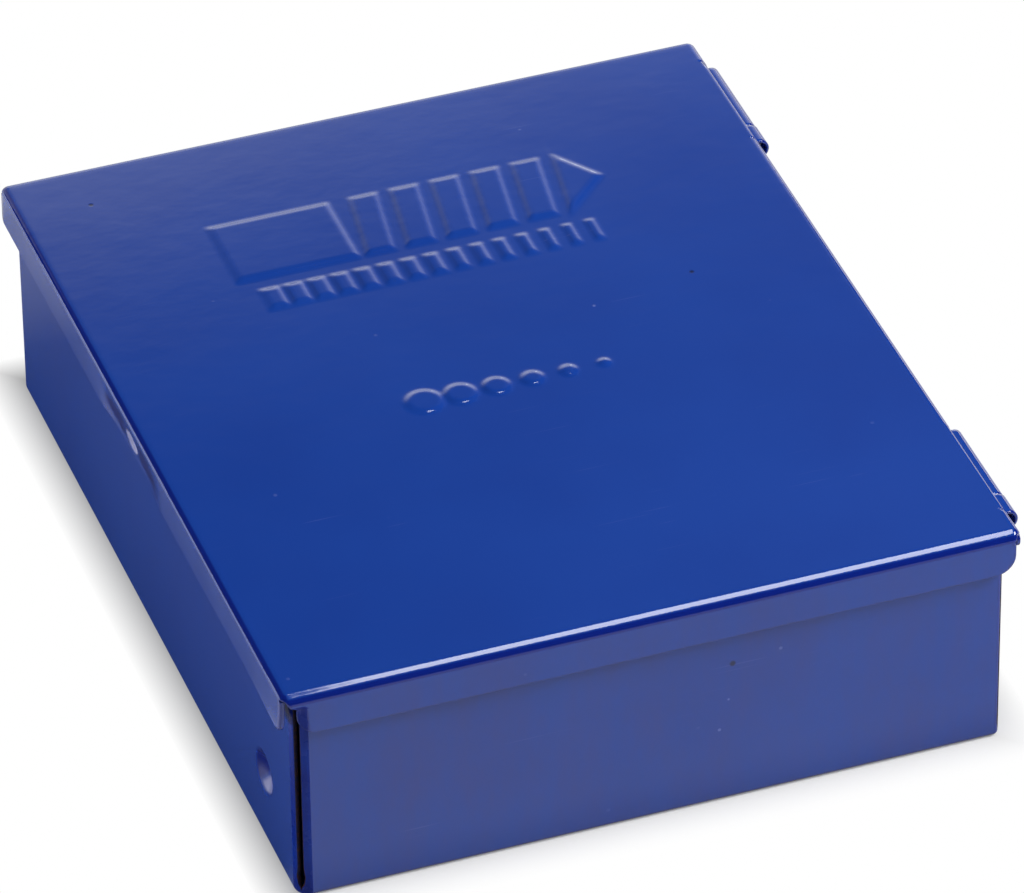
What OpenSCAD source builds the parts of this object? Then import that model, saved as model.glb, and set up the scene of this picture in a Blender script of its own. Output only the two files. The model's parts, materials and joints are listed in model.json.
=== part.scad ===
// Drill bit case: a folded sheet-steel box with a hinged lid.
// Three drill racks lie flat inside. Two link bars raise them as the lid opens,
// so that they stand behind one another like steps, large drills at the back.
//
// X runs along the hinges, the latch side faces -Y and the hinge side +Y.
// The origin is the middle of the bottom. The model shows the closed case.

/* [Case] */
// Width of the lid, along the hinges
lid_w = 140; // [134:1:160]
// Depth of the lid, from latch side to hinge side
lid_d = 116; // [112:1:130]
// Height of the closed case
case_h = 38.5; // [37.5:0.5:44]
// Thickness of the case sheet
sheet_t = 0.8; // [0.6:0.1:1]
// Outer radius of the bends round the lid
lid_bend_r = 1.4; // [1.1:0.1:2]
// Outer radius of the bends round the bottom of the base
base_bend_r = 2; // [1.4:0.1:2.6]
// Outer radius of the base's upright corners
base_corner_r = 1.1; // [1.1:0.1:1.6]
// Width of the open seam at each upright corner of the base
seam_w = 0.4; // [0.3:0.1:0.6]

/* [Lid fit] */
// Gap between each end flange of the lid and the base
end_gap = 0.3; // [0.25:0.05:0.6]
// Gap between the lid's front flange and the base, at the bend
front_gap = 1.1; // [0.8:0.1:2]
// Gap between the lid's back edge and the base's back panel
back_gap = 2.6; // [2.4:0.1:3]
// Gap between the base's rim and the underside of the lid
rim_gap = 0.4; // [0.3:0.1:0.8]

/* [Lid flanges] */
// Height of the flanges at both ends
flange_h = 7; // [6.5:0.5:9]
// Height of the flange on the latch side
latch_flange_h = 6.4; // [6.2:0.1:6.5]
// How far the latch flange flares outwards at its lower edge
flange_flare = 0.8; // [0.4:0.1:1.2]
// Height of the flange on the hinge side
back_flange_h = 3.3; // [2.6:0.1:3.6]
// How far the end flanges stop short of the front edge
front_setback = 2.4; // [1.6:0.1:3]
// How far the end flanges stop short of the back edge
back_setback = 1.2; // [1:0.1:2]
// Radius of the end flanges' lower corners
flange_corner_r = 3; // [2:0.5:4]

/* [Latch and dimples] */
// Radius of the ball-shaped latch dimple in the lid's front flange
latch_ball_r = 3; // [2.6:0.1:3.2]
// Gap left between the latch dimple and the base's front panel
latch_gap = 0.15; // [0.1:0.05:0.3]
// Height of the latch dimple below the top of the lid
latch_drop = 3.8; // [3.6:0.1:4]
// Diameter of the round dimple in the base's front panel
dimple_d = 7; // [5:0.5:9]
// Depth of that dimple
dimple_depth = 1; // [0.6:0.1:1.3]
// Distance of that dimple from the base's right end
dimple_inset = 15; // [12:1:25]
// Height of that dimple above the bottom
dimple_h = 12.8; // [10:0.2:18]

/* [Raised pattern on the lid] */
// Height of the raised pattern
relief_h = 0.45; // [0.3:0.05:0.6]
// Length of the drill figure
figure_l = 62; // [50:1:66]
// Width of the drill figure
figure_w = 15; // [10:1:18]
// Middle of the drill figure, to the left of the lid's middle
figure_x = 39; // [34:1:42]
// Length of the row of bars under the figure
bars_l = 57; // [40:1:64]
// Middle of the row of bars, to the left of the lid's middle
bars_x = 25.5; // [24:0.5:27]
// Height of the bars
bars_w = 5; // [3:0.5:6]
// Number of bars
bars = 15; // [8:1:18]
// Length of the row of round bosses
bosses_l = 29; // [24:1:40]
// Middle of the row of bosses, to the right of the lid's middle
bosses_x = 8; // [4:1:20]
// Diameter of the largest round boss
boss_max_d = 5.6; // [4:0.2:6]
// Diameter of the smallest round boss
boss_min_d = 1.6; // [1:0.2:3]
// Number of round bosses
bosses = 6; // [4:1:6]
// Length of the drill figure's shank
shank_l = 21; // [12:1:26]
// Number of slanted flutes on the drill figure
flutes = 5; // [3:1:6]

/* [Hinges] */
// Length of one hinge
hinge_l = 22; // [18:1:30]
// Distance of each hinge from the nearer end of the lid
hinge_inset = 7.2; // [5:0.2:14]
// Length of the knuckle on the lid's leaf
lid_knuckle_l = 4.6; // [4:0.2:6]
// Gap between the knuckles
knuckle_gap = 0.3; // [0.2:0.05:0.5]
// Radius of the hinge pin
pin_r = 1.1; // [0.9:0.05:1.2]
// Clearance of the pin in the knuckles
pin_clear = 0.06; // [0.04:0.01:0.08]
// Thickness of the base's hinge leaf
base_leaf_t = 0.8; // [0.6:0.1:0.9]
// Thickness of the lid's hinge leaf
lid_leaf_t = 1; // [0.9:0.05:1.1]
// How far the hinge pin lies behind the lid's back edge
pin_out = 0.3; // [0.2:0.05:0.5]
// How far the base's hinge leaf reaches below the pin
base_leaf_h = 13; // [9:0.5:16]
// Length of the lid's hinge leaf under the lid
lid_leaf_l = 8; // [6:0.5:12]

/* [Racks] */
// Height of the lowest rack pivot above the bottom
low_pivot_h = 5.6; // [5.5:0.05:6]
// Distance between rack pivots from front to back
rack_step = 11.5; // [11.3:0.1:12.5]
// Thickness of the rack sheet
rack_t = 0.8; // [0.6:0.1:0.9]
// Depth of the channel from drill plate to floor plate
rack_deep = 9; // [8.6:0.1:9.2]
// Distance of the channel's floor behind its pivot
rack_floor = 3.2; // [3:0.05:3.3]
// Distance of the channel's web below its pivot
rack_below = 3.2; // [3:0.05:3.3]
// Gap between the channel's open edges and the link ears above them
rack_gap = 0.53; // [0.45:0.01:0.9]
// Outer radius of the channel's bends
rack_bend_r = 1.3; // [1:0.1:1.6]
// Drill holes in each rack
drills = 20; // [12:1:20]
// Clearance of a drill in its hole, on the diameter
drill_clear = 0.15; // [0.1:0.05:0.2]
// Distance from the rack's ends to the first and last hole
row_margin = 3.5; // [3.2:0.1:5]

/* [Drill diameters] */
// Largest drill of the large rack
large_first = 5.8; // [5.4:0.1:5.9]
// Smallest drill of the large rack
large_last = 4.1; // [3.9:0.1:4.2]
// Largest drill of the medium rack
medium_first = 4; // [3.6:0.1:4.2]
// Smallest drill of the medium rack
medium_last = 2.5; // [2.2:0.1:2.8]
// Largest drill of the small rack
small_first = 2.4; // [2.2:0.1:2.8]
// Smallest drill of the small rack
small_last = 1; // [0.8:0.1:1.4]

/* [Lift linkage] */
// Distance from each pivot to its link rivet
crank_r = 12; // [11.8:0.1:12.6]
// Angle of the cranks below level when the case is closed
crank_drop = 5; // [3:1:6]
// Thickness of a link bar
link_t = 1; // [0.8:0.1:1]
// Half the width of a link bar
link_r = 2.8; // [2.6:0.1:2.9]
// Running gap between a link bar and the rack ears
link_gap = 0.3; // [0.2:0.05:0.4]
// Thickness of the pivot brackets
bracket_t = 1; // [0.8:0.1:1]
// Half the width of a pivot bracket along its row of pivots
bracket_r = 3.6; // [3.2:0.1:4]
// Width of the brackets' feet
foot_w = 7; // [5:0.5:10]

/* [Rivets] */
// Radius of the rivets' shanks
rivet_r = 1.2; // [1:0.05:1.25]
// Radius of the rivets' heads
rivet_head_r = 2.2; // [2:0.1:2.3]
// Thickness of the rivets' heads
rivet_head_t = 0.6; // [0.5:0.05:0.6]
// Running clearance of a rivet in its turning hole
rivet_clear = 0.08; // [0.05:0.01:0.09]
// Gap between a rivet's head and what turns under it
head_gap = 0.1; // [0.08:0.02:0.14]
// Wall of the spacers on the rack pivots
spacer_wall = 0.7; // [0.5:0.05:0.75]

/* [Hidden] */

$fn = 48;
arc_steps = 6;
// Cutting tools reach this far past what they cut
over = 1;
enamel = [0.12, 0.2, 0.56];
zinc = [0.74, 0.76, 0.78];
steel = [0.55, 0.57, 0.6];

// Base
base_w = lid_w - 2 * (sheet_t + end_gap);
base_front = -lid_d / 2 + sheet_t + front_gap;
base_back = lid_d / 2 - back_gap;
base_d = base_back - base_front;
base_mid = (base_back + base_front) / 2;
lid_under = case_h - sheet_t;
rim_h = lid_under - rim_gap;
end_wall_in = base_w / 2 - sheet_t;

// Hinges: the lid's knuckle touches the underside of the lid
base_knuckle_r = pin_r + pin_clear + base_leaf_t;
lid_knuckle_r = pin_r + pin_clear + lid_leaf_t;
pin_y = lid_d / 2 + pin_out;
pin_z = lid_under - lid_knuckle_r;
hinge_mid = lid_w / 2 - hinge_inset - hinge_l / 2;
base_knuckle_l = hinge_l - lid_knuckle_l - knuckle_gap;
notch_l = hinge_l + 2 * knuckle_gap;
edge_y = lid_d / 2 - lid_bend_r;
lid_leaf_back = base_back - sheet_t - lid_leaf_t;
lid_leaf_front = lid_leaf_back - lid_leaf_l;

// Ends of the lid's end flanges
front_y = -lid_d / 2 + front_setback;
back_y = lid_d / 2 - back_setback;

// Dimples, and the raised drill figure
dimple_ball_r = (dimple_d * dimple_d / 4 + dimple_depth * dimple_depth) / (2 * dimple_depth);
latch_y = base_front - latch_gap - latch_ball_r;
point_l = figure_w / 2;
flute_pitch = (figure_l - shank_l - point_l) / flutes;
flute_land = 0.62 * flute_pitch;
flute_rise = flute_pitch / 3;

// Pivots of the large, medium and small rack, on a line down from the hinge pin
racks = 3;
rack_drop = (pin_z - low_pivot_h) / racks;
function pivot_y(i) = pin_y - (i + 1) * rack_step;
function pivot_z(i) = pin_z - (i + 1) * rack_drop;
crank_y = -crank_r * cos(crank_drop);
crank_z = -crank_r * sin(crank_drop);
// Height of a channel's open edges above its pivot, under the next ear or lug
rack_above = rack_drop + crank_z - link_r - rack_gap;

// Layers from the end wall inwards: head, bracket, gap, link bar, gap, rack ear
bracket_out = end_wall_in - rivet_head_t - head_gap;
bracket_in = bracket_out - bracket_t;
link_out = bracket_in - rivet_head_t - link_gap;
link_in = link_out - link_t;
ear_out = link_in - link_gap;
ear_in = ear_out - rack_t;
foot_back = pivot_y(0) + bracket_r;
foot_front = pivot_y(racks - 1) + rack_deep;
foot_bend_r = 1.2 * bracket_t;
foot_top = sheet_t + 2 * foot_bend_r;

// Drill holes
hole_z = (rack_above - rack_below + rack_t) / 2;
row_l = 2 * (ear_in - row_margin);
rack_first = [large_first, medium_first, small_first];
rack_last = [large_last, medium_last, small_last];
function hole_d(i, k) =
    rack_first[i] + (rack_last[i] - rack_first[i]) * k / (drills - 1) + drill_clear;
function holes_before(i, k) = k == 0 ? 0 : holes_before(i, k - 1) + hole_d(i, k - 1);
function hole_web(i) = (row_l - holes_before(i, drills)) / (drills - 1);
function hole_x(i, k) =
    -row_l / 2 + holes_before(i, k) + k * hole_web(i) + hole_d(i, k) / 2;

// Points on an arc, from angle a to angle b
function arc(x, y, r, a, b) =
    [for (i = [0:arc_steps]) let (t = a + (b - a) * i / arc_steps)
        [x + r * cos(t), y + r * sin(t)]];

// A flat drawing of Y and Z, made into a bar of length l along X
module along_x(l) rotate([90, 0, 90]) linear_extrude(l, center = true) children();
// A flat drawing of X and Z, made into a bar of length l along Y
module along_y(l) rotate([90, 0, 0]) linear_extrude(l, center = true) children();
// A round bar along X between two places
module rod_x(r, from, to)
    translate([from, 0, 0]) rotate([0, 90, 0]) cylinder(r = r, h = to - from);
// A flat drawing of Y and Z, made into a plate between two places along X
module plate_x(from, to) translate([(from + to) / 2, 0, 0]) along_x(to - from) children();
// What is drawn for the right end (side 1) is mirrored for the left end (side -1)
module at_side(side) mirror([side < 0 ? 1 : 0, 0, 0]) children();
// A strip with round ends that joins two points of a flat drawing
module strip(a, b, r) {
    l = norm(b - a);
    translate(a) rotate(atan2(b[1] - a[1], b[0] - a[0])) {
        circle(r);
        translate([0, -r]) square([l, 2 * r]);
        translate([l, 0]) circle(r);
    }
}

// ---- Base ----

// Outline of the base seen along one of its walls, from u0 to u1
module tray_outline(u0, u1, bottom, top, r)
    polygon(concat(
        arc(u0 + r, bottom + r, r, 180, 270),
        arc(u1 - r, bottom + r, r, 270, 360),
        [[u1, top], [u0, top]]
    ));

// Outline of the base seen from above
module tray_plan(w, d, r)
    polygon(concat(
        arc(w / 2 - r, d / 2 - r, r, 0, 90),
        arc(-w / 2 + r, d / 2 - r, r, 90, 180),
        arc(-w / 2 + r, -d / 2 + r, r, 180, 270),
        arc(w / 2 - r, -d / 2 + r, r, 270, 360)
    ));

// Solid block of the base, drawn in by inset on every side but the top
module tray_block(inset, top) {
    half = base_w / 2 - inset;
    bend = base_bend_r - inset;
    intersection() {
        along_y(2 * lid_d) tray_outline(-half, half, inset, top, bend);
        along_x(2 * lid_w)
            tray_outline(base_front + inset, base_back - inset, inset, top, bend);
        translate([0, base_mid, 0]) linear_extrude(top)
            tray_plan(2 * half, base_d - 2 * inset, base_corner_r - inset);
    }
}

// Open seam across the right back corner, above the bottom bend
module corner_seam()
    translate([base_w / 2, base_d / 2, base_bend_r + rim_h / 2]) rotate([0, 0, 45])
        cube([6 * base_corner_r, seam_w, rim_h], center = true);

// Ball that presses the round dimple into the front panel
module dimple_ball(r)
    translate([base_w / 2 - dimple_inset, base_front + dimple_depth - dimple_ball_r, dimple_h])
        sphere(r);

// Room in the back rim for the tongue of one of the lid's hinge leaves
module rim_notch(side)
    translate([side * hinge_mid + hinge_l / 2 - lid_knuckle_l - knuckle_gap, base_mid,
            lid_under - lid_leaf_t - rim_gap])
        cube([lid_knuckle_l + 2 * knuckle_gap, base_d, case_h]);

module base_tray() color(enamel) difference() {
    union() {
        difference() {
            tray_block(0, rim_h);
            tray_block(sheet_t, rim_h + over);
            translate([0, base_mid, 0]) for (mx = [0, 1], my = [0, 1])
                mirror([mx, 0, 0]) mirror([0, my, 0]) corner_seam();
            rim_notch(-1);
            rim_notch(1);
        }
        intersection() {
            dimple_ball(dimple_ball_r + sheet_t);
            translate([base_w / 2 - dimple_inset, base_front + sheet_t / 2, dimple_h])
                rotate([-90, 0, 0]) cylinder(r = dimple_d, h = dimple_d);
        }
    }
    dimple_ball(dimple_ball_r);
}

// ---- Lid ----

// Lid seen from the latch side, drawn in by inset
module lid_front_outline(inset)
    polygon(concat(
        [[-lid_w / 2 + inset, case_h - flange_h - inset]],
        arc(-lid_w / 2 + lid_bend_r, case_h - lid_bend_r, lid_bend_r - inset, 180, 90),
        arc(lid_w / 2 - lid_bend_r, case_h - lid_bend_r, lid_bend_r - inset, 90, 0),
        [[lid_w / 2 - inset, case_h - flange_h - inset]]
    ));

// Lid seen from its end, with the flared latch flange, drawn in by inset
module lid_end_outline(inset)
    polygon(concat(
        [[-lid_d / 2 - flange_flare + inset, case_h - flange_h - inset],
        [-lid_d / 2 - flange_flare + inset, case_h - latch_flange_h - inset]],
        arc(-lid_d / 2 + lid_bend_r, case_h - lid_bend_r, lid_bend_r - inset, 180, 90),
        arc(lid_d / 2 - lid_bend_r, case_h - lid_bend_r, lid_bend_r - inset, 90, 0),
        [[lid_d / 2 - inset, case_h - flange_h - inset]]
    ));

module lid_block(inset) intersection() {
    along_y(2 * lid_d) lid_front_outline(inset);
    along_x(2 * lid_w) lid_end_outline(inset);
}

// What is left outside a rounded corner whose centre is at the origin
module corner_waste(r) difference() {
    square(r + over);
    circle(r);
}

// Everything cut away at the right end: open corners and rounded flange ends
module lid_end_cuts() {
    low = case_h - flange_h;
    wall_x = lid_w / 2 - sheet_t / 2;
    translate([wall_x - sheet_t, front_y - lid_d, low - over])
        cube([lid_w, lid_d, flange_h + over - lid_bend_r]);
    translate([wall_x - sheet_t, back_y, low - over])
        cube([lid_w, lid_d, flange_h + over - lid_bend_r]);
    translate([wall_x, front_y + flange_corner_r, low + flange_corner_r])
        along_x(2 * sheet_t) rotate(180) corner_waste(flange_corner_r);
    translate([wall_x, back_y - flange_corner_r, low + flange_corner_r])
        along_x(2 * sheet_t) rotate(-90) corner_waste(flange_corner_r);
}

// Ball that presses the latch dimple into the lid's front flange
module latch_ball(r) translate([0, latch_y, case_h - latch_drop]) sphere(r);

// Drill figure: shank, slanted flutes and point, along Y
module drill_figure() {
    translate([-figure_w / 2, 0]) square([figure_w, shank_l - flute_pitch / 4]);
    for (k = [0:flutes - 1]) translate([0, shank_l + k * flute_pitch])
        polygon([
            [-figure_w / 2, flute_rise], [figure_w / 2, 0],
            [figure_w / 2, flute_land], [-figure_w / 2, flute_land + flute_rise]
        ]);
    translate([0, figure_l - point_l])
        polygon([[-figure_w / 2, flute_rise], [figure_w / 2, 0], [0, point_l]]);
}

// Bars that grow thinner along Y
module bar_row() {
    step = bars_l / bars;
    for (k = [0:bars - 1]) translate([-bars_w / 2, k * step])
        square([bars_w, step * (0.7 - 0.5 * k / bars)]);
}

// Round bosses that grow smaller along Y
module boss_row() for (k = [0:bosses - 1])
    translate([0, bosses_l * k / (bosses - 1)])
        circle(d = boss_max_d + (boss_min_d - boss_max_d) * k / (bosses - 1));

module lid() color(enamel) {
    difference() {
        union() {
            difference() {
                lid_block(0);
                lid_block(sheet_t);
                at_side(1) lid_end_cuts();
                at_side(-1) lid_end_cuts();
                translate([-lid_w, front_y - lid_d, 0])
                    cube([2 * lid_w, lid_d, case_h - latch_flange_h]);
                // The back flange is shorter, and open where the hinges are
                translate([-lid_w, lid_d / 2 - (sheet_t + back_setback) / 2, 0])
                    cube([2 * lid_w, lid_d, case_h - back_flange_h]);
                for (side = [-1, 1]) translate([side * hinge_mid - notch_l / 2, edge_y, 0])
                    cube([notch_l, lid_d, case_h + over]);
            }
            for (side = [-1, 1]) translate([side * hinge_mid - notch_l / 2, edge_y, lid_under])
                cube([notch_l, lid_bend_r, sheet_t]);
            intersection() {
                latch_ball(latch_ball_r);
                translate([0, -lid_d / 2 - sheet_t / 8, case_h - latch_drop])
                    rotate([-90, 0, 0]) cylinder(r = latch_ball_r, h = lid_d / 2);
            }
        }
        latch_ball(latch_ball_r - sheet_t);
    }
    translate([0, 0, case_h - sheet_t / 2]) linear_extrude(relief_h + sheet_t / 2) {
        translate([-figure_x, -figure_l / 2]) drill_figure();
        translate([-bars_x, -bars_l / 2]) bar_row();
        translate([bosses_x, -bosses_l / 2]) boss_row();
    }
}

// ---- Hinges, drawn with the middle of the pin at the origin ----

// The base's leaf seen along the pin: plate, joggle and rolled knuckle
module base_leaf_outline() {
    face = base_back - pin_y;
    joggle = -base_knuckle_r - base_leaf_t;
    circle(base_knuckle_r);
    polygon([
        [face, -base_leaf_h], [face + base_leaf_t, -base_leaf_h],
        [face + base_leaf_t, joggle], [base_leaf_t - base_knuckle_r, -base_leaf_t],
        [base_leaf_t - base_knuckle_r, 0], [-base_knuckle_r, 0],
        [-base_knuckle_r, -base_leaf_t], [face, joggle]
    ]);
}

module hinge_base_leaf(side) translate([side * hinge_mid, pin_y, pin_z])
    color(enamel) difference() {
        union() {
            plate_x(-hinge_l / 2, -hinge_l / 2 + base_knuckle_l) base_leaf_outline();
            translate([-hinge_l / 2, base_back - pin_y, -base_leaf_h])
                cube([hinge_l, base_leaf_t, base_leaf_h / 2]);
        }
        rod_x(pin_r + pin_clear, -hinge_l, hinge_l);
    }

module hinge_lid_leaf(side) translate([side * hinge_mid, pin_y, pin_z])
    color(enamel) difference() {
        plate_z = lid_knuckle_r - lid_leaf_t;
        plate_y = lid_leaf_back - pin_y;
        tongue_x = hinge_l / 2 - lid_knuckle_l;
        union() {
            rod_x(lid_knuckle_r, tongue_x, hinge_l / 2);
            translate([tongue_x, plate_y - lid_leaf_l / 2, plate_z])
                cube([lid_knuckle_l, lid_leaf_l / 2 - plate_y, lid_leaf_t]);
            translate([-hinge_l / 2, plate_y - lid_leaf_l, plate_z])
                cube([hinge_l, lid_leaf_l, lid_leaf_t]);
        }
        rod_x(pin_r + pin_clear, -hinge_l, hinge_l);
    }

// The pin stops short inside the lid's knuckle
module hinge_pin(side) translate([side * hinge_mid, pin_y, pin_z])
    color(steel) rod_x(pin_r, -hinge_l / 2, hinge_l / 2 - lid_knuckle_l / 3);

// ---- Racks, drawn for the right end, with the pivot at the origin ----

// Outside of the channel at its two bends, from the floor plate to the drill plate
function channel_points(inset) = concat(
    arc(rack_floor - rack_bend_r, rack_bend_r - rack_below, rack_bend_r - inset, 0, -90),
    arc(rack_floor - rack_deep + rack_bend_r, rack_bend_r - rack_below,
        rack_bend_r - inset, -90, -180)
);

function backwards(points) = [for (i = [len(points) - 1:-1:0]) points[i]];

module channel_outline() polygon(concat(
    [[rack_floor, rack_above]], channel_points(0), [[rack_floor - rack_deep, rack_above]],
    [[rack_floor - rack_deep + rack_t, rack_above]], backwards(channel_points(rack_t)),
    [[rack_floor - rack_t, rack_above]]
));

module ear_outline() {
    polygon(concat(
        [[rack_floor, rack_above]], channel_points(0), [[rack_floor - rack_deep, rack_above]]
    ));
    strip([0, 0], [crank_y, crank_z], link_r);
}

module rack(i) translate([0, pivot_y(i), pivot_z(i)]) color(enamel) difference() {
    union() {
        along_x(2 * ear_out) channel_outline();
        for (side = [-1, 1]) at_side(side) plate_x(ear_in, ear_out) ear_outline();
    }
    for (k = [0:drills - 1])
        translate([hole_x(i, k), rack_floor - rack_deep + rack_t / 2, hole_z])
            rotate([90, 0, 0]) cylinder(d = hole_d(i, k), h = 2 * rack_t, center = true);
    rod_x(rivet_r + rivet_clear, -lid_w, lid_w);
    translate([0, crank_y, crank_z]) rod_x(rivet_r, -lid_w, lid_w);
}

// ---- Linkage and rivets, drawn for the right end ----

// Rivet along X: its shank runs from one head to the other
module rivet(from, to) {
    rod_x(rivet_r, from, to);
    translate([from, 0, 0]) rotate([0, -90, 0]) rivet_head();
    translate([to, 0, 0]) rotate([0, 90, 0]) rivet_head();
}

module rivet_head() rotate_extrude() polygon([
    [0, 0], [rivet_head_r, 0], [rivet_head_r, 0.4 * rivet_head_t],
    [0.65 * rivet_head_r, rivet_head_t], [0, rivet_head_t]
]);

module rack_pivot(i, side) at_side(side) translate([0, pivot_y(i), pivot_z(i)])
    color(zinc) rivet(ear_in - head_gap, bracket_out);

module rack_spacer(i, side) at_side(side) translate([0, pivot_y(i), pivot_z(i)])
    color(zinc) difference() {
        rod_x(rivet_r + spacer_wall, ear_out + head_gap, bracket_in);
        rod_x(rivet_r, ear_in, bracket_out);
    }

// Rivet through an ear and a link bar; the lid's lug has place -1
module link_rivet(i, side) at_side(side)
    translate([0, pivot_y(i) + crank_y, pivot_z(i) + crank_z])
        color(zinc) rivet(ear_in, link_out + head_gap);

module link_bar(side) at_side(side) color(zinc) difference() {
    top = [pivot_y(-1) + crank_y, pivot_z(-1) + crank_z];
    low = [pivot_y(racks - 1) + crank_y, pivot_z(racks - 1) + crank_z];
    plate_x(link_in, link_out) strip(top, low, link_r);
    for (i = [-1:racks - 1]) translate([0, pivot_y(i) + crank_y, pivot_z(i) + crank_z])
        rod_x(rivet_r + rivet_clear, ear_in, bracket_out);
}

module lid_lug(side) at_side(side) color(enamel) difference() {
    y = pivot_y(-1) + crank_y;
    z = pivot_z(-1) + crank_z;
    front = y - 3 * link_r;
    union() {
        plate_x(ear_in, ear_out) {
            translate([y, z]) circle(link_r);
            polygon([[y - link_r, z], [y + link_r, z], [y + link_r, lid_under], [front, lid_under]]);
        }
        // The foot stops in front of the hinge leaf
        translate([ear_out - foot_w, front, lid_under - rack_t])
            cube([foot_w, lid_leaf_front - link_gap - front, rack_t]);
    }
    translate([0, y, z]) rod_x(rivet_r, 0, lid_w);
}

module pivot_bracket(side) at_side(side) color(enamel) difference() {
    union() {
        plate_x(bracket_in, bracket_out) {
            strip([pivot_y(0), pivot_z(0)], [pivot_y(racks - 1), pivot_z(racks - 1)], bracket_r);
            polygon([
                [pivot_y(racks - 1), foot_top], [foot_back, foot_top],
                [foot_back, pivot_z(0)], [pivot_y(racks - 1), pivot_z(racks - 1)]
            ]);
        }
        translate([0, (foot_front + foot_back) / 2, 0]) along_y(foot_back - foot_front)
            polygon(concat(
                [[bracket_in - foot_w, sheet_t]],
                arc(bracket_out - foot_bend_r, sheet_t + foot_bend_r, foot_bend_r, 270, 360),
                [[bracket_out, foot_top], [bracket_in, foot_top],
                [bracket_in, sheet_t + bracket_t],
                [bracket_in - foot_w, sheet_t + bracket_t]]
            ));
    }
    for (i = [0:racks - 1]) translate([0, pivot_y(i), pivot_z(i)]) rod_x(rivet_r, 0, lid_w);
}

base_tray();
lid();
hinge_base_leaf(-1);  // left_hinge_base_leaf
hinge_lid_leaf(-1);  // left_hinge_lid_leaf
hinge_pin(-1);  // left_hinge_pin
hinge_base_leaf(1);  // right_hinge_base_leaf
hinge_lid_leaf(1);  // right_hinge_lid_leaf
hinge_pin(1);  // right_hinge_pin
pivot_bracket(-1);  // left_pivot_bracket
pivot_bracket(1);  // right_pivot_bracket
lid_lug(-1);  // left_lid_lug
lid_lug(1);  // right_lid_lug
link_rivet(-1, -1);  // left_lid_rivet
link_rivet(-1, 1);  // right_lid_rivet
link_bar(-1);  // left_link_bar
link_bar(1);  // right_link_bar
rack(0);  // large_rack
rack(1);  // medium_rack
rack(2);  // small_rack
rack_pivot(0, -1);  // left_large_pivot
rack_pivot(0, 1);  // right_large_pivot
rack_pivot(1, -1);  // left_medium_pivot
rack_pivot(1, 1);  // right_medium_pivot
rack_pivot(2, -1);  // left_small_pivot
rack_pivot(2, 1);  // right_small_pivot
rack_spacer(0, -1);  // left_large_spacer
rack_spacer(0, 1);  // right_large_spacer
rack_spacer(1, -1);  // left_medium_spacer
rack_spacer(1, 1);  // right_medium_spacer
rack_spacer(2, -1);  // left_small_spacer
rack_spacer(2, 1);  // right_small_spacer
link_rivet(0, -1);  // left_large_link_rivet
link_rivet(0, 1);  // right_large_link_rivet
link_rivet(1, -1);  // left_medium_link_rivet
link_rivet(1, 1);  // right_medium_link_rivet
link_rivet(2, -1);  // left_small_link_rivet
link_rivet(2, 1);  // right_small_link_rivet
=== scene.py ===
"""Drill bit case: a folded sheet-steel box with a hinged lid, in gloss royal-blue enamel.

The lid, the base and the hinge leaves are rebuilt here as thin sheets with soft bends. The racks,
brackets, link bars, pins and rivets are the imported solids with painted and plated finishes. Shapes
are in millimetres; materials and the studio are in metres, except where a value is times MM.
"""

import json
import math

import bmesh
import bpy
import numpy as np
from mathutils import Matrix, Vector


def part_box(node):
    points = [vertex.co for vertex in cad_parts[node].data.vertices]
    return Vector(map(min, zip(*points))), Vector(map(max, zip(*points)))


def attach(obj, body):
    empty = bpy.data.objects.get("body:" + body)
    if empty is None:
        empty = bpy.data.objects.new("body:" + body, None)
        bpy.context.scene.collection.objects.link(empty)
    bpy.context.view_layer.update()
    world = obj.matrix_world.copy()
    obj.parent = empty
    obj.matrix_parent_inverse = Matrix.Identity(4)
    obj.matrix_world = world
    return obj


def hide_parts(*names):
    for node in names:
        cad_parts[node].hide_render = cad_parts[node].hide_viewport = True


MM = 0.001
NEAR = 1e-6  # room for rounding where places are compared

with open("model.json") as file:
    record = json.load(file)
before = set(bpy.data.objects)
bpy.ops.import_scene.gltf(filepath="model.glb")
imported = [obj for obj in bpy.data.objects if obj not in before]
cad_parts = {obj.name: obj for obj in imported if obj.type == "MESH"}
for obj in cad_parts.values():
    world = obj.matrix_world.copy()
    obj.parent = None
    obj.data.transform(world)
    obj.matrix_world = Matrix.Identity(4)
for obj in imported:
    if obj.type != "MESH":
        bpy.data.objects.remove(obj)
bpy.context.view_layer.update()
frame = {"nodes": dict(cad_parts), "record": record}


def box_mm(node):
    """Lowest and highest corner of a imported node."""
    low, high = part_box(node)
    return np.array(low) / MM, np.array(high) / MM


def row_of(x, y, z):
    """Points from three coordinates, each a number or an array."""
    return np.stack(np.broadcast_arrays(x, y, z), axis=-1)


# The turn at which a bend of the lid goes over from its first radius to its second
TIGHTER = math.radians(55)


def bend_at(bend, turn):
    """(out, down) at an angle of one of the lid's bends, given as its two radii."""
    high = np.minimum(turn, TIGHTER)
    out = bend[0] * np.sin(high) + bend[1] * (np.sin(turn) - np.sin(high))
    return out, bend[0] * (1 - np.cos(high)) + bend[1] * (np.cos(high) - np.cos(turn))


# ---- Sizes of the sheets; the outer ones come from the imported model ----

LID_LOW, LID_HIGH = box_mm("lid")
TRAY_LOW, TRAY_HIGH = box_mm("base_tray")
HINGES = ("left", "right")

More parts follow.
